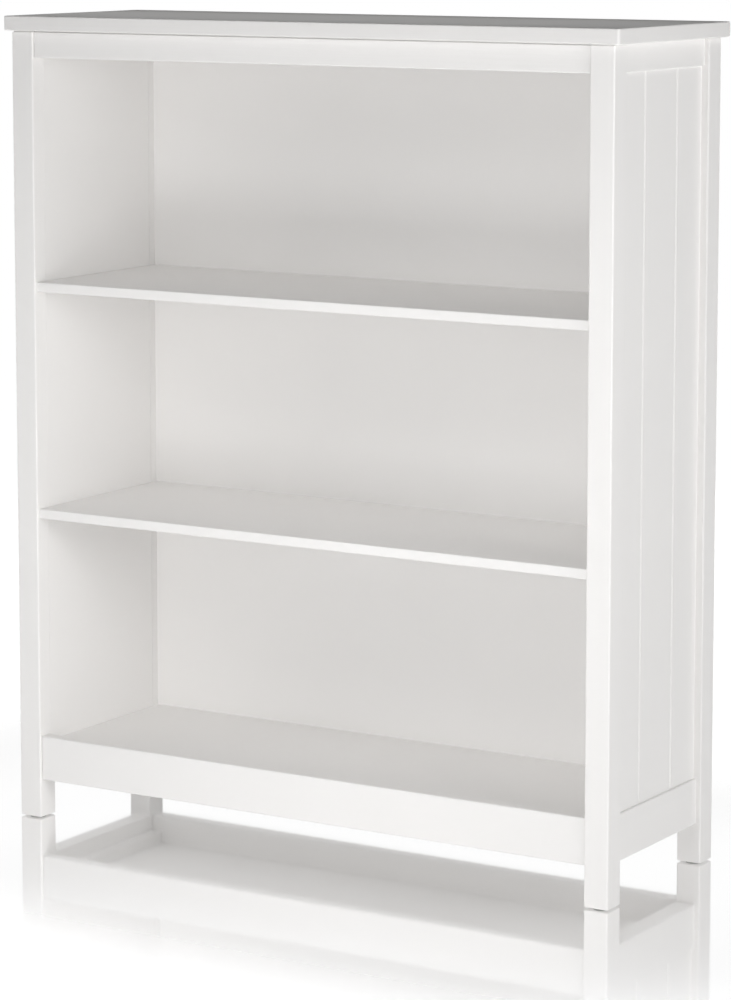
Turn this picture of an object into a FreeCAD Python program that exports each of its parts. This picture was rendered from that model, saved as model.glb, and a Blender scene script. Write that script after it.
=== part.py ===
import FreeCAD, Part
import os
import Sketcher
from types import SimpleNamespace

# Open bookcase with framed, V-grooved sides.
# Four square posts run from the floor to an overhanging top board.  Each side is a frame of two posts and
# two rails, with a thin grooved panel let in from behind and a lining that closes it flush on the inside.
# Two shelves lie on hidden pins between the linings, and a third behind a rail that stands up as a lip.
# Millimetres, +Z up, front towards -Y, origin on the floor under the middle of the top board.

SIZES = {
    # Whole case
    "case_height": 1222,            # floor to the upper face of the top board
    "case_width": 1014,             # over the outer faces of the posts
    "case_depth": 326,              # over the front and rear faces of the posts
    "leg_clearance": 60,            # floor to the underside of the bottom rails
    "butt_clearance": 0.3,          # free play where a board is slid in between two others
    # Top board
    "top_thickness": 22,
    "top_overhang_side": 10,
    "top_overhang_front": 7,
    "top_overhang_rear": 10,
    "top_edge_radius": 2,
    "top_corner_radius": 4,
    # Posts
    "post_side": 38,
    "post_radius": 2.5,
    "post_foot_chamfer": 1,
    "shadow_line_height": 2,        # air under the top board where posts and front rail show
    "shadow_line_depth": 5,         # in the front rail; in the posts it stops at the rail's face
    "shadow_line_return": 1.5,      # depth of the line where it turns round the sides of the posts
    # Rails between the posts, front and rear
    "rail_thickness": 18,
    "rail_setback": 3.5,            # front rails behind the front faces of the posts
    "top_rail_height": 40,
    "bottom_rail_height": 68,
    "rail_radius": 2.5,
    # Framed sides: rail, grooved panel and lining, counted inwards from the outer faces of the posts
    "side_rail_inset": 8,
    "side_rail_radius": 2,
    "panel_inset": 12,
    "panel_thickness": 10,
    "panel_play": 1,                # air between a grooved panel and the lining behind it
    "panel_tongue": 8,              # how far a panel runs in behind posts and rails
    "groove_spacing": 98,
    "groove_width": 5,
    "groove_depth": 2.5,
    "lining_lap": 11.5,             # how far a lining laps into the rebate of a post
    "lining_chamfer": 0.8,
    # Mortise and tenon joints of the rails
    "front_tenon_thickness": 8,
    "side_tenon_thickness": 7,
    "side_tenon_length": 18,
    "tenon_shoulder": 8,            # rail above and below its tenon
    "mortise_wall": 2,              # wood left between a mortise and the next cut in a post
    "tenon_clearance": 0.1,         # glue gap at each cheek
    "tenon_end_clearance": 1,
    # Shelves and back
    "shelf_thickness": 15,
    "shelf_setback": 5,             # front edges behind the front faces of the posts
    "shelf_radius": 2,
    "upper_shelf_top": 824,
    "lower_shelf_top": 479,
    "lip_height": 10.5,             # bottom rail above the bottom shelf
    "lip_tongue_length": 6,         # bottom shelf let into the bottom front rail
    "lip_tongue_thickness": 7,
    "batten_side": 18,              # strips under the ends of the bottom shelf
    "back_thickness": 5,
    "back_recess": 7.5,             # back panel in front of the rear faces of the posts
    "back_groove_depth": 9,
    # Concealed pins that carry the two loose shelves
    "pin_diameter": 5,
    "pin_reach": 9,                 # length that stands out of a lining
    "pin_edge": 50,                 # pin axis from the front and rear edges of a shelf
    "pin_cover": 4,                 # lining left behind a pin's bore
    "notch_height": 6,              # notch under a shelf's end, which hides the pin
    "notch_clearance": 0.5,
    # Screws up into the top board
    "screw_diameter": 4,
    "screw_bite": 13,               # length in the top board
    "screw_head_diameter": 8,
    "screw_head_height": 2.5,
    "screw_pocket_diameter": 10,
    "screw_pocket_depth": 18,       # under the top rails
    "screw_edge": 150,              # outermost screws from the inner faces of the posts
    # Glides glued under the posts
    "glide_diameter": 24,
    "glide_height": 2,
    "glide_chamfer": 0.6,
    # Bores for what is let into them
    "bore_clearance": 0.2,          # bore over the diameter of a pin or screw
    "bore_end_clearance": 1,        # bore past the end of what it holds
}

doc = FreeCAD.newDocument("Bookcase")
sheet = doc.addObject("Spreadsheet::Sheet", "Sizes")
for row, (name, value) in enumerate(SIZES.items(), start=1):
    sheet.set(f"A{row}", name)
    sheet.set(f"B{row}", str(value))
    sheet.setAlias(f"B{row}", name)
doc.recompute()


class Length:
    """A length or a place along an axis: its value, and the formula on the sheet that it follows."""

    def __init__(self, value, formula):
        self.value = value
        self.formula = formula

    def __add__(self, other):
        other = as_length(other)
        return Length(self.value + other.value, f"({self.formula} + {other.formula})")

    def __sub__(self, other):
        other = as_length(other)
        return Length(self.value - other.value, f"({self.formula} - {other.formula})")

    def __mul__(self, factor):
        return Length(self.value * factor, f"({self.formula} * {factor})")

    def __truediv__(self, divisor):
        return Length(self.value / divisor, f"({self.formula} / {divisor})")

    def __neg__(self):
        return self * -1

    __rmul__ = __mul__


def as_length(item):
    """Plain numbers may stand where a length is asked for."""
    return item if isinstance(item, Length) else Length(item, str(item))


size = SimpleNamespace(**{name: Length(getattr(sheet, name), f"Sizes.{name}") for name in SIZES})

AXES = "xyz"
PLANES = {"x": "YZ_Plane", "y": "XZ_Plane", "z": "XY_Plane"}
ACROSS = {"x": "yz", "y": "xz", "z": "xy"}

pieces = []


class Piece:
    """One piece of the case: a body placed at its own corner and drawn in the case's coordinates."""

    def __init__(self, label, x, y, z):
        self.body = doc.addObject("PartDesign::Body", label)
        self.body.Label = label
        self.body.AllowCompound = True
        self.corner = {axis: as_length(place) for axis, place in zip(AXES, (x, y, z))}
        for axis, place in self.corner.items():
            self.body.setExpression(f"Placement.Base.{axis}", place.formula)
        pieces.append(self)

    def sketch(self, axis, level):
        """An empty sketch square to an axis, at a level along it."""
        drawing = self.body.newObject("Sketcher::SketchObject", f"{self.body.Label}_outline")
        role = PLANES[axis]
        plane = next(item for item in self.body.Origin.OriginFeatures if item.Role == role)
        drawing.AttachmentSupport = [(plane, "")]
        drawing.MapMode = "FlatFace"
        offset = level - self.corner[axis]
        if axis == "y":
            offset = -offset
        drawing.setExpression("AttachmentOffset.Base.z", offset.formula)
        return drawing

    def flat(self, axis, point):
        """The two coordinates of a point across an axis, measured from the piece's corner."""
        return [as_length(place) - self.corner[other] for other, place in zip(ACROSS[axis], point)]

    def dimension(self, drawing, geometry, vertex, point):
        """Ties one point of a sketch to the sheet."""
        for kind, place in zip(("DistanceX", "DistanceY"), point):
            rule = Sketcher.Constraint(kind, -1, 1, geometry, vertex, place.value)
            index = drawing.addConstraint(rule)
            drawing.setExpression(f"Constraints[{index}]", place.formula)

    def draw(self, drawing, axis, outline):
        """Draws a circle, given as (centre, diameter), or a polygon, given as a list of corners."""
        if isinstance(outline, tuple):
            centre, diameter = outline
            centre = self.flat(axis, centre)
            spot = FreeCAD.Vector(centre[0].value, centre[1].value, 0)
            circle = Part.Circle(spot, FreeCAD.Vector(0, 0, 1), diameter.value / 2)
            geometry = drawing.addGeometry(circle, False)
            self.dimension(drawing, geometry, 3, centre)
            index = drawing.addConstraint(Sketcher.Constraint("Diameter", geometry, diameter.value))
            drawing.setExpression(f"Constraints[{index}]", diameter.formula)
            return
        corners = [self.flat(axis, point) for point in outline]
        spots = [FreeCAD.Vector(corner[0].value, corner[1].value, 0) for corner in corners]
        lines = [drawing.addGeometry(Part.LineSegment(here, there), False)
                 for here, there in zip(spots, spots[1:] + spots[:1])]
        for line, following in zip(lines, lines[1:] + lines[:1]):
            drawing.addConstraint(Sketcher.Constraint("Coincident", line, 2, following, 1))
        for line, corner in zip(lines, corners):
            self.dimension(drawing, line, 1, corner)

    def extrude(self, kind, axis, start, end, outlines):
        """Adds or removes what outlines sweep between two levels, and checks that the volume followed."""
        start, end = as_length(start), as_length(end)
        before = self.body.Tip.Shape.Volume if self.body.Tip else 0
        drawing = self.sketch(axis, start)
        for outline in outlines:
            self.draw(drawing, axis, outline)
        feature = self.body.newObject(f"PartDesign::{kind}", f"{self.body.Label}_{kind.lower()}")
        feature.Profile = drawing
        rising = end.value > start.value
        length = end - start if rising else start - end
        feature.setExpression("Length", length.formula)
        along_normal = rising != (axis == "y")
        feature.Reversed = along_normal if kind == "Pocket" else not along_normal
        doc.recompute()
        change = feature.Shape.Volume - before
        if abs(change) < 1e-3 or (change > 0) != (kind == "Pad"):
            raise RuntimeError(f"{feature.Label} changed the volume by {change}")

    def add(self, axis, start, end, *outlines):
        self.extrude("Pad", axis, start, end, outlines)

    def cut(self, axis, start, end, *outlines):
        self.extrude("Pocket", axis, start, end, outlines)

    def drill(self, axis, mouth, end, diameter, centres):
        """Round holes that leave the named clearance round and behind what they hold."""
        mouth, end = as_length(mouth), as_length(end)
        past = size.bore_end_clearance if end.value > mouth.value else -size.bore_end_clearance
        bore = diameter + size.bore_clearance
        self.cut(axis, mouth, end + past, *[(centre, bore) for centre in centres])

    def edges(self, along, **sides):
        """Names of the straight edges along an axis that lie on the given sides, "low" or "high"."""
        shape = self.body.Tip.Shape
        found = []
        for number, edge in enumerate(shape.Edges, start=1):
            if not isinstance(edge.Curve, Part.Line):
                continue
            if abs(getattr(edge.Curve.Direction, along)) < 0.999:
                continue
            if all(on_side(edge, shape, axis, side) for axis, side in sides.items()):
                found.append(f"Edge{number}")
        return found

    def rim(self, axis, side):
        """Names of all edges, straight or round, that lie in one end face."""
        shape = self.body.Tip.Shape
        return [f"Edge{number}" for number, edge in enumerate(shape.Edges, start=1)
                if on_side(edge, shape, axis, side)]

    def ease(self, kind, amount, names):
        """Rounds or chamfers edges."""
        base = self.body.Tip
        feature = self.body.newObject(f"PartDesign::{kind}", f"{self.body.Label}_{kind.lower()}")
        feature.Base = (base, names)
        feature.setExpression("Radius" if kind == "Fillet" else "Size", amount.formula)
        doc.recompute()

    def round(self, radius, names):
        self.ease("Fillet", radius, names)

    def chamfer(self, width, names):
        self.ease("Chamfer", width, names)


def on_side(edge, shape, axis, side):
    """True where an edge lies flat in the lowest or highest face of a shape along an axis."""
    limit = {"low": "Min", "high": "Max"}[side]
    level = getattr(shape.BoundBox, axis.upper() + limit)
    ends = (getattr(edge.BoundBox, axis.upper() + "Min"), getattr(edge.BoundBox, axis.upper() + "Max"))
    return all(abs(end - level) < 1e-4 for end in ends)


def rectangle(first, second):
    """Corners of a rectangle from its two ranges across an axis."""
    return [(first[0], second[0]), (first[1], second[0]), (first[1], second[1]), (first[0], second[1])]


def board(label, x, y, z):
    """A square-edged board between two places on each axis."""
    piece = Piece(label, x[0], y[0], z[0])
    piece.add("z", z[0], z[1], rectangle(x, y))
    return piece


def hardware(label):
    """A group of small fittings, drawn from the case's front left floor corner."""
    return Piece(label, -half_width, front, 0)


# Places that the pieces share

SIDES = {"left": -1, "right": 1}
ENDS = {"front": -1, "rear": 1}

half_width = size.case_width / 2
inner_half = half_width - size.post_side
top_depth = size.case_depth + size.top_overhang_front + size.top_overhang_rear
front = size.top_overhang_front - top_depth / 2
rear = front + size.case_depth
underside = size.case_height - size.top_thickness
shadow_low = underside - size.shadow_line_height

top_rail_low = underside - size.top_rail_height
rail_low = size.leg_clearance
rail_lip = rail_low + size.bottom_rail_height
rail_front = front + size.rail_setback
rail_back = rail_front + size.rail_thickness
shadow_back = rail_front + size.shadow_line_depth
back_rear = rear - size.back_recess
back_front = back_rear - size.back_thickness
rear_rail_front = back_front - size.rail_thickness

frame_front = front + size.post_side
frame_rear = rear - size.post_side
lining_inset = size.panel_inset + size.panel_thickness + size.panel_play
lining_front = frame_front - size.lining_lap
lining_rear = frame_rear + size.lining_lap
panel_low = rail_lip - size.panel_tongue
panel_high = top_rail_low + size.panel_tongue

bottom_shelf_top = rail_lip - size.lip_height
bottom_shelf_low = bottom_shelf_top - size.shelf_thickness
bottom_shelf_axis = bottom_shelf_top - size.shelf_thickness / 2
shelf_front = front + size.shelf_setback
shelf_half = inner_half - size.butt_clearance
LOOSE_SHELVES = {"upper_shelf": size.upper_shelf_top, "lower_shelf": size.lower_shelf_top}

# Rails between the left and right posts: the depth that those of one end take up, and each one's height
RAIL_DEPTHS = {"front": (rail_front, rail_back), "rear": (rear_rail_front, back_front)}
CROSS_RAILS = {
    "front": {
        "top_front_rail": (top_rail_low, underside),
        "bottom_front_rail": (rail_low, rail_lip),
    },
    "rear": {
        "top_rear_rail": (top_rail_low, underside),
        "bottom_rear_rail": (rail_low, bottom_shelf_low),
    },
}
# Rails of the framed sides: height of each, and the stretch of it that no panel is let into
SIDE_RAILS = {"top": (top_rail_low, underside), "bottom": (rail_low, rail_lip)}
SOLID_STRETCH = {"top": (panel_high, underside), "bottom": (rail_low, panel_low)}


def middle(reach):
    return (reach[0] + reach[1]) / 2


def around(axis, width):
    """The range of a given width about an axis."""
    return axis - width / 2, axis + width / 2


def inside(reach, margin):
    """A range drawn in by a margin at both ends."""
    return reach[0] + margin, reach[1] - margin


def in_order(near, far):
    return (near, far) if near.value < far.value else (far, near)


def at_inset(side, inset):
    """The place across the width at a depth behind the outer post faces of one side."""
    return SIDES[side] * (half_width - inset)


def between_insets(side, outer, inner):
    """The range across the width between two such depths, lowest first."""
    return in_order(at_inset(side, outer), at_inset(side, inner))


def post_depth(end, depth):
    """The place along the depth at a distance behind the outer faces of the front or rear posts."""
    return front + depth if end == "front" else rear - depth


# Tenons: those of the cross rails stop short of those of the side rails, which cross their path, and the
# rear ones keep between the rebate of the lining and the groove of the back panel
TENON_DEPTHS = {
    "front": around(middle(RAIL_DEPTHS["front"]), size.front_tenon_thickness),
    "rear": inside((lining_rear, back_front), size.mortise_wall),
}
side_tenon_insets = around((size.side_rail_inset + lining_inset) / 2, size.side_tenon_thickness)
cross_tenon_stop = side_tenon_insets[1] + size.mortise_wall + size.tenon_end_clearance
cross_tenon_length = size.post_side - cross_tenon_stop


def cross_tenon(end, label):
    """Depth and height of the tenons of a cross rail."""
    return TENON_DEPTHS[end], inside(CROSS_RAILS[end][label], size.tenon_shoulder)


def side_tenon(side, level):
    """Width and height of the tenon of a side rail."""
    return between_insets(side, *side_tenon_insets), inside(SOLID_STRETCH[level], size.tenon_shoulder)


def cut_mortise(post, axis, mouth, tip, section):
    """A mortise that leaves a glue gap round a tenon of the given section and past its tip."""
    past = size.tenon_end_clearance if tip.value > mouth.value else -size.tenon_end_clearance
    gap = -size.tenon_clearance
    post.cut(axis, mouth, tip + past, rectangle(inside(section[0], gap), inside(section[1], gap)))


def make_post(side, end):
    """A post: rounded arrises, a stepped rebate for lining and panel, and the mortises of its rails.

    Its outer faces stop just under the top board, which leaves a fine dark line there.
    """
    faces = in_order(post_depth(end, as_length(0)), post_depth(end, size.post_side))
    post = board(f"{end}_{side}_post", between_insets(side, as_length(0), size.post_side), faces,
                 (size.glide_height, underside))
    post.round(size.post_radius, post.edges("z"))
    post.chamfer(size.post_foot_chamfer, post.rim("z", "low"))

    outer_strip = between_insets(side, as_length(0), size.shadow_line_return)
    post.cut("z", shadow_low, underside, rectangle(outer_strip, faces))
    if end == "front":
        whole_width = between_insets(side, as_length(0), size.post_side)
        post.cut("z", shadow_low, underside, rectangle(whole_width, (front, rail_front)))

    frame_face = post_depth(end, size.post_side)
    lap = in_order(post_depth(end, size.post_side - size.lining_lap), frame_face)
    post.cut("z", rail_low, underside,
             rectangle(between_insets(side, lining_inset, size.post_side), lap))
    tongue = in_order(post_depth(end, size.post_side - size.panel_tongue), frame_face)
    post.cut("z", panel_low, panel_high,
             rectangle(between_insets(side, size.panel_inset, lining_inset), tongue))
    if end == "rear":
        groove = between_insets(side, size.post_side - size.back_groove_depth, size.post_side)
        post.cut("z", rail_low, underside, rectangle(groove, (back_front, back_rear)))

    inner_face = at_inset(side, size.post_side)
    for label in CROSS_RAILS[end]:
        tip = inner_face + SIDES[side] * cross_tenon_length
        cut_mortise(post, "x", inner_face, tip, cross_tenon(end, label))
    for level in SIDE_RAILS:
        tip = frame_face + ENDS[end] * size.side_tenon_length
        cut_mortise(post, "y", frame_face, tip, side_tenon(side, level))


def make_side_rail(side, level):
    """A rail tenoned between the posts of one side and rebated behind its edge for the panel."""
    rail = board(f"{side}_{level}_side_rail", between_insets(side, size.side_rail_inset, lining_inset),
                 (frame_front, frame_rear), SIDE_RAILS[level])
    outer = "low" if side == "left" else "high"
    rail.round(size.side_rail_radius, rail.edges("y", x=outer))
    rebate = (top_rail_low, panel_high) if level == "top" else (panel_low, rail_lip)
    rail.cut("y", frame_front, frame_rear,
             rectangle(between_insets(side, size.panel_inset, lining_inset), rebate))
    section = rectangle(*side_tenon(side, level))
    rail.add("y", frame_front, frame_front - size.side_tenon_length, section)
    rail.add("y", frame_rear, frame_rear + size.side_tenon_length, section)


def make_grooved_panel(side):
    """The outer skin of a side: a thin board whose profile has two V-grooves, run from end to end."""
    face = at_inset(side, size.panel_inset)
    rear_face = at_inset(side, size.panel_inset + size.panel_thickness)
    groove_floor = at_inset(side, size.panel_inset + size.groove_depth)
    first = frame_front - size.panel_tongue + size.butt_clearance
    last = frame_rear + size.panel_tongue - size.butt_clearance
    profile = [(rear_face, first), (face, first)]
    for axis in around((frame_front + frame_rear) / 2, size.groove_spacing):
        lips = around(axis, size.groove_width)
        profile += [(face, lips[0]), (groove_floor, axis), (face, lips[1])]
    profile += [(face, last), (rear_face, last)]
    low, high = inside((panel_low, panel_high), size.butt_clearance)
    panel = Piece(f"{side}_grooved_panel", in_order(face, rear_face)[0], first, low)
    panel.add("z", low, high, profile)


# Pins: a row near the front and a row near the rear of each loose shelf
pin_rows = inside((shelf_front, back_front), size.pin_edge)
pin_drop = size.shelf_thickness - size.notch_height + size.pin_diameter / 2
pin_spots = [(row, top - pin_drop) for top in LOOSE_SHELVES.values() for row in pin_rows]
pin_tip_inset = lining_inset + size.pin_cover + size.bore_end_clearance


def make_side_lining(side):
    """The inner wall of a side, flush with the posts, with the bores of the shelf pins."""
    lining = board(f"{side}_side_lining", between_insets(side, lining_inset, size.post_side),
                   (lining_front, lining_rear), (rail_low, underside))
    inner = "high" if side == "left" else "low"
    lining.chamfer(size.lining_chamfer, lining.edges("z", x=inner))
    lining.drill("x", at_inset(side, size.post_side), at_inset(side, pin_tip_inset),
                 size.pin_diameter, pin_spots)


# Screws: two rows, up through the top rails
screw_seat = top_rail_low + size.screw_pocket_depth
screw_reach = inner_half - size.screw_edge
screw_columns = [-screw_reach, as_length(0), screw_reach]
screw_rows = [middle(depth) for depth in RAIL_DEPTHS.values()]


def make_cross_rail(end, label):
    """A rail tenoned between the left and right posts, with a rounded face where it shows."""
    depth = RAIL_DEPTHS[end]
    rail = board(label, (-inner_half, inner_half), depth, CROSS_RAILS[end][label])
    if label == "top_front_rail":
        rail.cut("z", shadow_low, underside,
                 rectangle((-inner_half, inner_half), (rail_front, shadow_back)))
        rail.round(size.rail_radius, rail.edges("x", y="low", z="low") + rail.edges("z", y="low"))
    if label == "bottom_front_rail":
        rail.round(size.rail_radius, rail.edges("x", y="low") + rail.edges("z", y="low"))
    section = rectangle(*cross_tenon(end, label))
    for outward in SIDES.values():
        shoulder = outward * inner_half
        rail.add("x", shoulder, shoulder + outward * cross_tenon_length, section)
    if label.startswith("top"):
        spots = [(column, middle(depth)) for column in screw_columns]
        rail.cut("z", top_rail_low, screw_seat, *[(spot, size.screw_pocket_diameter) for spot in spots])
        bore = size.screw_diameter + size.bore_clearance
        rail.cut("z", screw_seat, underside, *[(spot, bore) for spot in spots])
    if label == "bottom_front_rail":
        groove = around(bottom_shelf_axis, size.lip_tongue_thickness + 2 * size.tenon_clearance)
        floor = rail_back - size.lip_tongue_length - size.tenon_end_clearance
        rail.cut("y", rail_back, floor, rectangle((-inner_half, inner_half), groove))


def make_loose_shelf(label):
    """A shelf between the linings, notched under its ends over the pins that carry it."""
    top = LOOSE_SHELVES[label]
    low = top - size.shelf_thickness
    shelf = board(label, (-shelf_half, shelf_half), (shelf_front, back_front), (low, top))
    shelf.round(size.shelf_radius, shelf.edges("x", y="low"))
    width = size.pin_diameter + 2 * size.notch_clearance
    for outward in SIDES.values():
        ends = in_order(outward * shelf_half, outward * (inner_half - size.pin_reach - size.notch_clearance))
        notches = [rectangle(ends, around(row, width)) for row in pin_rows]
        shelf.cut("z", low, low + size.notch_height, *notches)


def make_bottom_shelf():
    """The shelf behind the lip: tongued into the bottom front rail, on battens and the rear rail."""
    shelf = board("bottom_shelf", (-shelf_half, shelf_half), (rail_back, back_front),
                  (bottom_shelf_low, bottom_shelf_top))
    tongue = around(bottom_shelf_axis, size.lip_tongue_thickness)
    shelf.add("y", rail_back, rail_back - size.lip_tongue_length,
              rectangle((-shelf_half, shelf_half), tongue))


def make_batten(side):
    """A strip glued to a lining under one end of the bottom shelf."""
    across = between_insets(side, size.post_side, size.post_side + size.batten_side)
    board(f"{side}_shelf_batten", across, (rail_back, rear_rail_front),
          (bottom_shelf_low - size.batten_side, bottom_shelf_low))


def make_top_board():
    """The overhanging top, with blind bores underneath for the screws of the top rails."""
    reach = half_width + size.top_overhang_side
    top = board("top_board", (-reach, reach), (-top_depth / 2, top_depth / 2), (underside, size.case_height))
    top.round(size.top_corner_radius, top.edges("z"))
    top.round(size.top_edge_radius, top.rim("z", "low") + top.rim("z", "high"))
    top.drill("z", underside, underside + size.screw_bite, size.screw_diameter,
              [(column, row) for column in screw_columns for row in screw_rows])


def make_back_panel():
    """One sheet slid down the grooves of the rear posts, behind rails and shelves."""
    reach = inner_half + size.back_groove_depth - size.butt_clearance
    board("back_panel", (-reach, reach), (back_front, back_rear),
          (rail_low, underside - size.butt_clearance))


def make_shelf_pins():
    """Plain steel pins in the linings, hidden in the notches of the shelves that they carry."""
    group = hardware("shelf_pins")
    for side, outward in SIDES.items():
        group.add("x", at_inset(side, pin_tip_inset), outward * (inner_half - size.pin_reach),
                  *[(spot, size.pin_diameter) for spot in pin_spots])


def make_top_board_screws():
    """Screws whose heads sit in the pockets under the top rails."""
    group = hardware("top_board_screws")
    spots = [(column, row) for column in screw_columns for row in screw_rows]
    group.add("z", screw_seat - size.screw_head_height, screw_seat,
              *[(spot, size.screw_head_diameter) for spot in spots])
    group.add("z", screw_seat, underside + size.screw_bite, *[(spot, size.screw_diameter) for spot in spots])


def make_foot_glides():
    """Round glides glued under the posts, which they hold just off the floor."""
    group = hardware("foot_glides")
    post_axis = size.post_side / 2
    spots = [(at_inset(side, post_axis), post_depth(end, post_axis)) for side in SIDES for end in ENDS]
    group.add("z", 0, size.glide_height, *[(spot, size.glide_diameter) for spot in spots])
    group.chamfer(size.glide_chamfer, group.rim("z", "low"))


for side in SIDES:
    for end in ENDS:
        make_post(side, end)
    for level in SIDE_RAILS:
        make_side_rail(side, level)
    make_grooved_panel(side)
    make_side_lining(side)
    make_batten(side)
for end, rails in CROSS_RAILS.items():
    for label in rails:
        make_cross_rail(end, label)
for label in LOOSE_SHELVES:
    make_loose_shelf(label)
make_bottom_shelf()
make_top_board()
make_back_panel()
make_shelf_pins()
make_top_board_screws()
make_foot_glides()

doc.recompute()
for item in doc.Objects:
    if "Invalid" in item.State or "Error" in item.State:
        raise RuntimeError(f"{item.Label} failed: {item.State}")
for piece in pieces:
    shape = piece.body.Shape
    if shape.isNull() or not shape.isValid():
        raise RuntimeError(f"{piece.body.Label} has no valid shape")

os.makedirs("parts", exist_ok=True)
for piece in pieces:
    piece.body.Shape.exportStep(os.path.join("parts", f"{piece.body.Label}.step"))
print(len(pieces), "pieces,", sum(len(piece.body.Shape.Solids) for piece in pieces), "solids")
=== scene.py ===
import math
import bpy
from mathutils import Matrix, Vector


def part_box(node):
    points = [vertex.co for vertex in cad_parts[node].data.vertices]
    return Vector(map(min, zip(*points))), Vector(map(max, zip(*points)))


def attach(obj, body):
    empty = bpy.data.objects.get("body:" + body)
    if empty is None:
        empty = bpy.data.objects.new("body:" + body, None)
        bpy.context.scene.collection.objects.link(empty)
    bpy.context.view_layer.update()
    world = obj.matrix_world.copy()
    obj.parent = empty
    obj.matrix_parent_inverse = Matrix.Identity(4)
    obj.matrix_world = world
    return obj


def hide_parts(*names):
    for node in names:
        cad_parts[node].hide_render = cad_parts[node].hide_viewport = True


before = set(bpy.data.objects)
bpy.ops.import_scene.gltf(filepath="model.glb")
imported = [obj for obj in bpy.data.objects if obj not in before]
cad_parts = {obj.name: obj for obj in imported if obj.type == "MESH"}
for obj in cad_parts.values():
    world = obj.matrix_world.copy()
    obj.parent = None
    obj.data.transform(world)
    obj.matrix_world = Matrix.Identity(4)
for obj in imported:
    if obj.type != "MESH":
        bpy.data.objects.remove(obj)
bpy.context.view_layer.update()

# Foot glides
# Four round discs of grey moulded plastic, glued under the posts so that the case slides on a floor.
# The mould leaves a fine stipple, and sliding leaves scratches all one way across it.


class Field:
    """One output of a node, so that the maths of a finish or a shape reads as plain arithmetic."""

    def __init__(self, tree, socket=None):
        self.tree = tree
        self.socket = socket

    def node(self, kind, settings=(), sockets=(), output=0):
        """Any node: its settings are set first, then the values or links of its sockets."""
        node = self.tree.nodes.new(kind)
        for name, setting in dict(settings).items():
            setattr(node, name, setting)
        for key, value in dict(sockets).items():
            if isinstance(value, Field):
                self.tree.links.new(value.socket, node.inputs[key])
            else:
                node.inputs[key].default_value = value
        return Field(self.tree, node.outputs[output] if node.outputs else None)

    def math(self, operation, *values):
        """A sum, product or the like of fields and plain numbers."""
        return self.node("ShaderNodeMath", {"operation": operation}, dict(enumerate(values)))

    def output(self, name):
        """Another output of the same node."""
        return Field(self.tree, self.socket.node.outputs[name])

    def __add__(self, other):
        return self.math("ADD", self, other)

    def __sub__(self, other):
        return self.math("SUBTRACT", self, other)

    def __rsub__(self, other):
        return self.math("SUBTRACT", other, self)

    def __mul__(self, other):
        return self.math("MULTIPLY", self, other)

    def __truediv__(self, other):
        return self.math("DIVIDE", self, other)

    __radd__ = __add__
    __rmul__ = __mul__


def new_finish(name):
    """An empty material, and the place on its piece that its patterns are drawn from."""
    material = bpy.data.materials.new(name)
    material.use_nodes = True
    material.node_tree.nodes.clear()
    return material, Field(material.node_tree).node("ShaderNodeTexCoord", output="Object")


def noise(place, stretch, detail=3.0, distortion=0.0):
    """Cloudy noise from 0 to 1, with so many clouds to a metre along X, Y and Z."""
    spread = place.node("ShaderNodeMapping", {}, {"Vector": place, "Scale": stretch})
    return place.node("ShaderNodeTexNoise", {}, {
        "Vector": spread, "Scale": 1.0, "Detail": detail, "Distortion": distortion}, "Fac")


def between(amount, low, high):
    """A mix of two colours."""
    return amount.node("ShaderNodeMix", {"data_type": "RGBA"}, {
        0: amount, 6: (*low, 1.0), 7: (*high, 1.0)}, 2)


def bumped(height, depth, under=None):
    """The surface's normal over a relief of that depth in metres."""
    sockets = {"Strength": 1.0, "Distance": depth, "Height": height}
    if under:
        sockets["Normal"] = under
    return height.node("ShaderNodeBump", {}, sockets, "Normal")


def close(place, **sockets):
    """Ends a finish in its shader."""
    shader = place.node("ShaderNodeBsdfPrincipled", {}, {
        name.replace("_", " "): value for name, value in sockets.items()}, "BSDF")
    place.node("ShaderNodeOutputMaterial", {}, {"Surface": shader})


def dress(material, *names):
    """Gives a finish to pieces that keep the shape they were built with."""
    for name in names:
        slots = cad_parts[name].data.materials
        slots.clear()
        slots.append(material)


GLIDE_GREY = (0.36, 0.36, 0.355)
GLIDE_SCRATCHED = (0.47, 0.47, 0.46)
STIPPLE_DEPTH = 0.00005
SCRATCH_DEPTH = 0.00004
glide_plastic, place = new_finish("glide_grey_plastic")
stipple = noise(place, (2600, 2600, 2600), detail=1.0)
scratches = noise(place, (30, 900, 900), detail=4.0)
close(place,
      Base_Color=between(scratches, GLIDE_GREY, GLIDE_SCRATCHED),
      Roughness=0.42 + 0.2 * scratches,
      Normal=bumped(stipple, STIPPLE_DEPTH, bumped(scratches, SCRATCH_DEPTH)))
dress(glide_plastic, "foot_glides")

# Posts
# Four square posts of solid wood with softly rounded arrises, which run on to the floor as legs.
# Sprayed with white satin paint: the grain still shows faintly along them, and the spray leaves a fine peel.

PAINT_SHADE = (0.890, 0.878, 0.866)
PAINT_LIGHT = (0.917, 0.905, 0.893)
PEEL_DEPTH = 0.00006
GRAIN_DEPTH = 0.00016
FIBRES_ALONG = 7
FIBRES_ACROSS = 260
GRAIN_SHARE = 0.38


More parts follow.
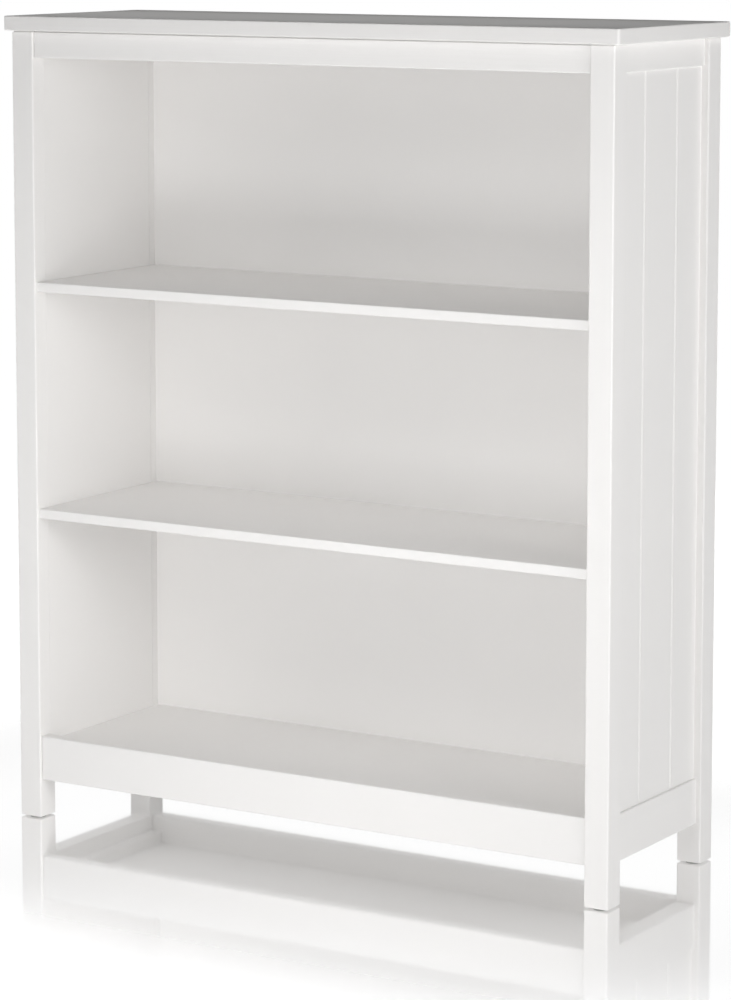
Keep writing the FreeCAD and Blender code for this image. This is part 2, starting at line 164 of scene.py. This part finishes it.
def satin_paint(name, grain=None, dullness=0.5, gloss=0.2):
    """White satin paint, over wood whose grain runs along one axis, or over plain fibreboard.

    Dullness is its roughness before the patterns add to it, and gloss is how much it reflects.
    """
    material, place = new_finish(name)
    clouds = noise(place, (5, 5, 5), detail=2.0)
    peel = noise(place, (620, 620, 620), detail=2.0)
    sheen = noise(place, (38, 38, 38), detail=3.0)
    tone = clouds
    roughness = dullness + 0.1 * sheen
    normal = bumped(peel, PEEL_DEPTH)
    if grain:
        fineness = [FIBRES_ALONG if axis == grain else FIBRES_ACROSS for axis in "xyz"]
        fibres = noise(place, fineness, detail=4.0, distortion=0.15)
        tone = (1.0 - GRAIN_SHARE) * clouds + GRAIN_SHARE * fibres
        roughness = roughness + 0.09 * (fibres - 0.5)
        normal = bumped(fibres, GRAIN_DEPTH, normal)
    close(place,
          Base_Color=between(tone, PAINT_SHADE, PAINT_LIGHT),
          Roughness=roughness,
          Normal=normal,
          Specular_IOR_Level=gloss)
    return material


upright_paint = satin_paint("satin_paint_on_upright_grain", "z")
dress(upright_paint, "front_left_post", "front_right_post", "rear_left_post", "rear_right_post")

# Side frames
# Rails tenoned between the posts of each side, a thin fibreboard panel with two V-grooves let in from behind,
# and a flat lining that closes the frame flush on the inside.  All sprayed in the posts' white.

depthwise_paint = satin_paint("satin_paint_on_depthwise_grain", "y")
fibreboard_paint = satin_paint("satin_paint_on_fibreboard")
for side in ("left", "right"):
    dress(depthwise_paint, f"{side}_top_side_rail", f"{side}_bottom_side_rail")
    dress(fibreboard_paint, f"{side}_grooved_panel", f"{side}_side_lining")

# Cross rails
# Solid rails tenoned between the left and right posts.  The bottom front rail stands above the bottom shelf
# as a lip, and its front arrises are rounded like the posts'.

lengthwise_paint = satin_paint("satin_paint_on_lengthwise_grain", "x")
dress(lengthwise_paint, "top_front_rail", "bottom_front_rail", "top_rear_rail", "bottom_rear_rail")

# Shelves
# Painted boards: the bottom one tongued into its rail and laid on two battens, the others on steel pins that
# stand in the linings and are hidden in notches under the ends.

dress(lengthwise_paint, "bottom_shelf", "lower_shelf", "upper_shelf")
dress(depthwise_paint, "left_shelf_batten", "right_shelf_batten")

ZINC_BLOOMED = (0.55, 0.56, 0.58)
ZINC_BRIGHT = (0.70, 0.70, 0.69)
DRAWING_DEPTH = 0.00002
zinc, place = new_finish("bright_zinc_plate")
bloom = noise(place, (900, 900, 900), detail=3.0)
drawn = noise(place, (4000, 4000, 700), detail=2.0)
close(place,
      Base_Color=between(bloom, ZINC_BLOOMED, ZINC_BRIGHT),
      Metallic=1.0,
      Roughness=0.26 + 0.22 * drawn,
      Normal=bumped(drawn, DRAWING_DEPTH))
dress(zinc, "shelf_pins")

# Back panel
# One painted fibreboard sheet in grooves of the rear posts, held to the top and bottom rear rails by two rows
# of zinc-plated pan-head screws with a cross recess, each left at whatever angle it came tight.

dress(fibreboard_paint, "back_panel")

HEAD_FACETS = 28
HEAD_STEPS = 6
SHANK_FACETS = 16
DOME = 0.42
SLOT_LENGTH = 0.5
SLOT_WIDTH = 0.12
SLIVER = 0.00002
ANGLE_SEED = 7


def screw_tree():
    """A grid of screws with their heads up and the undersides of the heads in the plane of the grid."""
    tree = bpy.data.node_groups.new("pan_head_screws", "GeometryNodeTree")
    face = tree.interface
    for name, kind in (("Columns", "NodeSocketInt"), ("Rows", "NodeSocketInt"),
                       ("Length of Row", "NodeSocketFloat"), ("Row Spacing", "NodeSocketFloat"),
                       ("Head Diameter", "NodeSocketFloat"), ("Head Height", "NodeSocketFloat"),
                       ("Shank Diameter", "NodeSocketFloat"), ("Shank Length", "NodeSocketFloat"),
                       ("Finish", "NodeSocketMaterial")):
        face.new_socket(name, in_out="INPUT", socket_type=kind)
    face.new_socket("Screws", in_out="OUTPUT", socket_type="NodeSocketGeometry")
    given = Field(tree).node("NodeGroupInput")
    head_width, head_height = given.output("Head Diameter"), given.output("Head Height")
    shank_width, shank_length = given.output("Shank Diameter"), given.output("Shank Length")

    # The head: a disc whose sides stand straight at first and then draw in to a dome
    blank = given.node("GeometryNodeMeshCylinder", {"fill_type": "NGON"}, {
        "Vertices": HEAD_FACETS, "Side Segments": HEAD_STEPS,
        "Radius": head_width / 2, "Depth": head_height}, "Mesh")
    spot = given.node("ShaderNodeSeparateXYZ", {}, {
        0: given.node("GeometryNodeInputPosition")}, "X")
    rise = spot.output("Z") / head_height + 0.5
    narrowing = 1 - DOME * rise * rise * rise
    domed = given.node("ShaderNodeCombineXYZ", {}, {
        "X": spot * narrowing, "Y": spot.output("Y") * narrowing, "Z": rise * head_height})
    head = given.node("GeometryNodeSetPosition", {}, {"Geometry": blank, "Position": domed})

    # The recess: two crossed slots, short enough to leave a rim, cut to half the height of the head
    size = given.node("ShaderNodeCombineXYZ", {}, {
        "X": head_width * SLOT_LENGTH, "Y": head_width * SLOT_WIDTH, "Z": head_height})
    slot = given.node("GeometryNodeMeshCube", {}, {"Size": size}, "Mesh")
    lift = given.node("ShaderNodeCombineXYZ", {}, {"Z": head_height})
    for turn in (0.0, math.pi / 2):
        cutter = given.node("GeometryNodeTransform", {}, {
            "Geometry": slot, "Translation": lift, "Rotation": (0.0, 0.0, turn)})
        head = given.node("GeometryNodeMeshBoolean", {"operation": "DIFFERENCE"}, {
            "Mesh 1": head, "Mesh 2": cutter}, "Mesh")
    # Corners that the two cuts leave closer together than a sliver are merged
    head = given.node("GeometryNodeMergeByDistance", {}, {"Geometry": head, "Distance": SLIVER})

    shank = given.node("GeometryNodeMeshCylinder", {"fill_type": "NGON"}, {
        "Vertices": SHANK_FACETS, "Radius": shank_width / 2, "Depth": shank_length}, "Mesh")
    sunk = given.node("ShaderNodeCombineXYZ", {}, {"Z": -0.5 * shank_length})
    shank = given.node("GeometryNodeTransform", {}, {"Geometry": shank, "Translation": sunk})
    screw = given.node("GeometryNodeJoinGeometry")
    for part in (head, shank):
        tree.links.new(part.socket, screw.socket.node.inputs["Geometry"])

    grid = given.node("GeometryNodeMeshGrid", {}, {
        "Vertices X": given.output("Columns"), "Vertices Y": given.output("Rows"),
        "Size X": given.output("Length of Row"), "Size Y": given.output("Row Spacing")}, "Mesh")
    angle = given.node("FunctionNodeRandomValue", {"data_type": "FLOAT"}, {
        2: 0.0, 3: math.pi, "Seed": ANGLE_SEED}, 1)
    turned = given.node("ShaderNodeCombineXYZ", {}, {"Z": angle})
    spread = given.node("GeometryNodeInstanceOnPoints", {}, {
        "Points": grid, "Instance": screw, "Rotation": turned})
    real = given.node("GeometryNodeRealizeInstances", {}, {"Geometry": spread})
    finished = given.node("GeometryNodeSetMaterial", {}, {
        "Geometry": real, "Material": given.output("Finish")})
    given.node("NodeGroupOutput", {}, {"Screws": finished})
    return tree


pan_head_screws = screw_tree()


def drive_screws(name, place, sizes):
    """A group of screws of given sizes, made a plain mesh and turned into its place."""
    carrier = bpy.data.objects.new(f"{name}_grid", bpy.data.meshes.new(f"{name}_grid"))
    bpy.context.scene.collection.objects.link(carrier)
    modifier = carrier.modifiers.new("screws", "NODES")
    modifier.node_group = pan_head_screws
    for socket in pan_head_screws.interface.items_tree:
        if socket.in_out == "INPUT":
            modifier[socket.identifier] = zinc if socket.name == "Finish" else sizes[socket.name]
    driven = carrier.evaluated_get(bpy.context.evaluated_depsgraph_get())
    mesh = bpy.data.meshes.new_from_object(driven)
    mesh.name = name
    mesh.validate()
    bpy.data.objects.remove(carrier)
    mesh.transform(place)
    screws = bpy.data.objects.new(name, mesh)
    bpy.context.scene.collection.objects.link(screws)
    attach(screws, "root")
    return screws


panel_low, panel_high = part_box("back_panel")
top_rail_low, top_rail_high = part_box("top_rear_rail")
low_rail_low, low_rail_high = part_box("bottom_rear_rail")
low_row = (low_rail_low[2] + low_rail_high[2]) / 2
top_row = (top_rail_low[2] + top_rail_high[2]) / 2
BACK_SCREW_SIDE_MARGIN = 0.06
facing_back = Matrix.Rotation(-math.pi / 2, 4, "X")
drive_screws(
    "back_panel_screws",
    Matrix.Translation((0, panel_high[1], (low_row + top_row) / 2)) @ facing_back,
    {"Columns": 7, "Rows": 2,
     "Length of Row": panel_high[0] - panel_low[0] - 2 * BACK_SCREW_SIDE_MARGIN,
     "Row Spacing": top_row - low_row,
     "Head Diameter": 0.0075, "Head Height": 0.0022,
     "Shank Diameter": 0.0035, "Shank Length": 0.014})

# Top board
# A solid board that overhangs the case all round, with eased edges, painted like the rest and rubbed duller.
# Six of the same screws hold it from below, up through pockets in the two top rails.

rubbed_paint = satin_paint("rubbed_paint_on_lengthwise_grain", "x", dullness=0.75, gloss=0.01)
dress(rubbed_paint, "top_board")
screws_low, screws_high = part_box("top_board_screws")
TOP_HEAD_DIAMETER = 0.008
TOP_HEAD_HEIGHT = 0.0025
underside_of_heads = Matrix.Translation((
    (screws_low[0] + screws_high[0]) / 2,
    (screws_low[1] + screws_high[1]) / 2,
    screws_low[2] + TOP_HEAD_HEIGHT))
facing_down = Matrix.Rotation(math.pi, 4, "X")
top_screws = drive_screws(
    "top_board_pocket_screws",
    underside_of_heads @ facing_down,
    {"Columns": 3, "Rows": 2,
     "Length of Row": screws_high[0] - screws_low[0] - TOP_HEAD_DIAMETER,
     "Row Spacing": screws_high[1] - screws_low[1] - TOP_HEAD_DIAMETER,
     "Head Diameter": TOP_HEAD_DIAMETER, "Head Height": TOP_HEAD_HEIGHT,
     "Shank Diameter": 0.004,
     "Shank Length": screws_high[2] - screws_low[2] - TOP_HEAD_HEIGHT})
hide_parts("top_board_screws")

# Floor
# A plain pale floor, polished where the case stands, so that legs and underside are mirrored in it for a
# short way.  It glows white to the eye, with a painted shade that dims the glow near the case, and it glows
# faintly up at the case from below as a weak light of the floor's own.

FLOOR_REACH = 60.0
floor_mesh = bpy.data.meshes.new("floor")
floor_mesh.from_pydata(
    [(-FLOOR_REACH, -FLOOR_REACH, 0), (FLOOR_REACH, -FLOOR_REACH, 0),
     (FLOOR_REACH, FLOOR_REACH, 0), (-FLOOR_REACH, FLOOR_REACH, 0)], [], [(0, 1, 2, 3)])
floor = bpy.data.objects.new("floor", floor_mesh)
bpy.context.scene.collection.objects.link(floor)


def sight(start):
    """1 for what the eye looks at straight, and 1 also for what it sees by way of a mirror or glass."""
    straight = start.node("ShaderNodeLightPath", output="Is Camera Ray")
    mirrored = straight.math("MAXIMUM", straight, straight.output("Is Glossy Ray"))
    return straight, straight.math("MAXIMUM", mirrored, straight.output("Is Transmission Ray"))


def fading(distance, near, far):
    """1 up to a near distance, and 0 from a far one on."""
    return distance.node("ShaderNodeMapRange", {"interpolation_type": "SMOOTHSTEP"}, {
        "Value": distance, "From Min": near, "From Max": far, "To Min": 1.0, "To Max": 0.0}, "Result")


WHITE = (1.0, 1.0, 1.0, 1.0)
FLOOR_TO_THE_LIGHT = (0.9, 0.9, 0.9)
FLOOR_TO_THE_EYE = (0.2, 0.2, 0.2)
PAINTED_SHADE_GLOW_BESIDE_THE_CASE = 0.7
GLOW_FROM_BELOW = 0.21
PAINTED_SHADE_FADES_FROM = 0.1
PAINTED_SHADE_FADES_TO = 0.6
POLISH = 0.95
POLISH_ROUGHNESS = 0.06
POLISH_FADES_FROM = 0.05
POLISH_FADES_TO = 0.7
HALF_CASE_WIDTH = 0.507
HALF_CASE_DEPTH = 0.165
pale_floor, place = new_finish("pale_polished_floor")
across = place.node("ShaderNodeSeparateXYZ", {}, {0: place}, "X")
inward = across.output("Y")
past_side = across.math("MAXIMUM", across.math("ABSOLUTE", across) - HALF_CASE_WIDTH, 0.0)
past_face = across.math("MAXIMUM", across.math("ABSOLUTE", inward) - HALF_CASE_DEPTH, 0.0)
distance = across.math("SQRT", past_side * past_side + past_face * past_face)
straight, seen = sight(place)
# The glow seen by the eye is dimmed near the case: a painted shade around its foot.
glow_under_painted_shade = 1.0 - (1.0 - PAINTED_SHADE_GLOW_BESIDE_THE_CASE) * fading(distance, PAINTED_SHADE_FADES_FROM, PAINTED_SHADE_FADES_TO)
paper = place.node("ShaderNodeBsdfDiffuse", {}, {
    "Color": between(seen, FLOOR_TO_THE_LIGHT, FLOOR_TO_THE_EYE)})
# To all rays but the eye's the floor glows weakly, a painted light that lights the case from below.
lit = place.node("ShaderNodeEmission", {}, {"Strength": seen * glow_under_painted_shade + (1.0 - seen) * GLOW_FROM_BELOW})
matt = place.node("ShaderNodeAddShader", {}, {0: paper, 1: lit})
mirror = place.node("ShaderNodeBsdfAnisotropic", {}, {"Color": WHITE, "Roughness": POLISH_ROUGHNESS})
polished = place.node("ShaderNodeMixShader", {}, {
    0: straight * POLISH * fading(distance, POLISH_FADES_FROM, POLISH_FADES_TO), 1: matt, 2: mirror})
place.node("ShaderNodeOutputMaterial", {}, {"Surface": polished})
floor_mesh.materials.append(pale_floor)

# Light
# Softboxes at the front, one of them close to the floor, others at the sides and behind, and weak gridded
# ones above for the tops of shelves and top board.  The air is white where the eye looks past the case.

world = bpy.data.worlds.new("studio")
bpy.context.scene.world = world
world.use_nodes = True
world.node_tree.nodes.clear()
air = Field(world.node_tree)
sky = air.node("ShaderNodeBackground", {}, {"Color": WHITE, "Strength": sight(air)[1]})
air.node("ShaderNodeOutputWorld", {}, {"Surface": sky})


def soft_lamp(name, spot, aim, width, height, watts, spread=180, mirrored=True):
    """A softbox, or one with a grid that holds its light to a beam of so many degrees.

    One that isn't mirrored lights the case and leaves no bright patch with a hard edge on the polished floor.
    """
    data = bpy.data.lights.new(name, "AREA")
    data.shape = "RECTANGLE"
    data.size = width
    data.size_y = height
    data.energy = watts
    data.spread = math.radians(spread)
    lamp = bpy.data.objects.new(name, data)
    lamp.location = spot
    lamp.rotation_euler = (Vector(aim) - Vector(spot)).to_track_quat("-Z", "Y").to_euler()
    lamp.visible_camera = False
    lamp.visible_glossy = mirrored
    bpy.context.scene.collection.objects.link(lamp)


CASE = (0.0, 0.0, 0.65)
LOWER_CASE = (0.0, 0.0, 0.6)
SHELF_TOPS = (0.0, -0.1, 0.3)
SHELF_GRID = 70
TOP_GRID = 40
soft_lamp("low_front_lamp", (0.1, -1.6, 0.25), (0.1, 0.0, 0.25), 1.0, 0.4, 5.4)
soft_lamp("near_front_lamp", (0.8, -1.6, 1.2), (0.8, 0.0, 1.2), 1.0, 0.4, 3.1)
soft_lamp("front_lamp", (0.0, -3.2, 1.0), CASE, 1.2, 0.6, 11.8)
soft_lamp("left_grid_lamp", (-0.7, -1.5, 2.0), SHELF_TOPS, 1.2, 0.4, 0.65, SHELF_GRID)
soft_lamp("middle_grid_lamp", (0.2, -1.5, 1.6), SHELF_TOPS, 1.2, 0.4, 0.5, SHELF_GRID)
soft_lamp("right_grid_lamp", (1.0, -1.5, 1.8), SHELF_TOPS, 1.2, 0.4, 0.65, SHELF_GRID)
soft_lamp("left_lamp", (-2.77, -1.6, 1.9), CASE, 1.4, 1.4, 10)
soft_lamp("right_lamp", (3.15, -0.8, 1.0), CASE, 1.4, 1.0, 41.5)
soft_lamp("top_grid_lamp", (-0.04, 0.0, 2.2), (-0.04, 0.0, 1.2), 1.4, 0.3, 0.52, TOP_GRID)
soft_lamp("rear_left_lamp", (-2.9, 1.2, 0.9), LOWER_CASE, 1.0, 0.8, 24, mirrored=False)
soft_lamp("rear_lamp", (-0.4, 3.3, 0.7), LOWER_CASE, 1.0, 0.8, 38, mirrored=False)

# Camera
# To the right of the front and a little above the top board, looking slightly down.

TILT_DOWN = 7.179
TURN_FROM_FRONT = 31.582
lens = bpy.data.cameras.new("camera")
lens.lens = 128.70
lens.sensor_width = 36.0
lens.shift_y = -0.15
lens.clip_end = 200.0
camera = bpy.data.objects.new("camera", lens)
camera.location = (2.7461, -4.4475, 1.3936)
camera.rotation_euler = (math.radians(90 - TILT_DOWN), 0.0, math.radians(TURN_FROM_FRONT))
bpy.context.scene.collection.objects.link(camera)
bpy.context.scene.camera = camera
bpy.context.scene.view_settings.view_transform = "Standard"
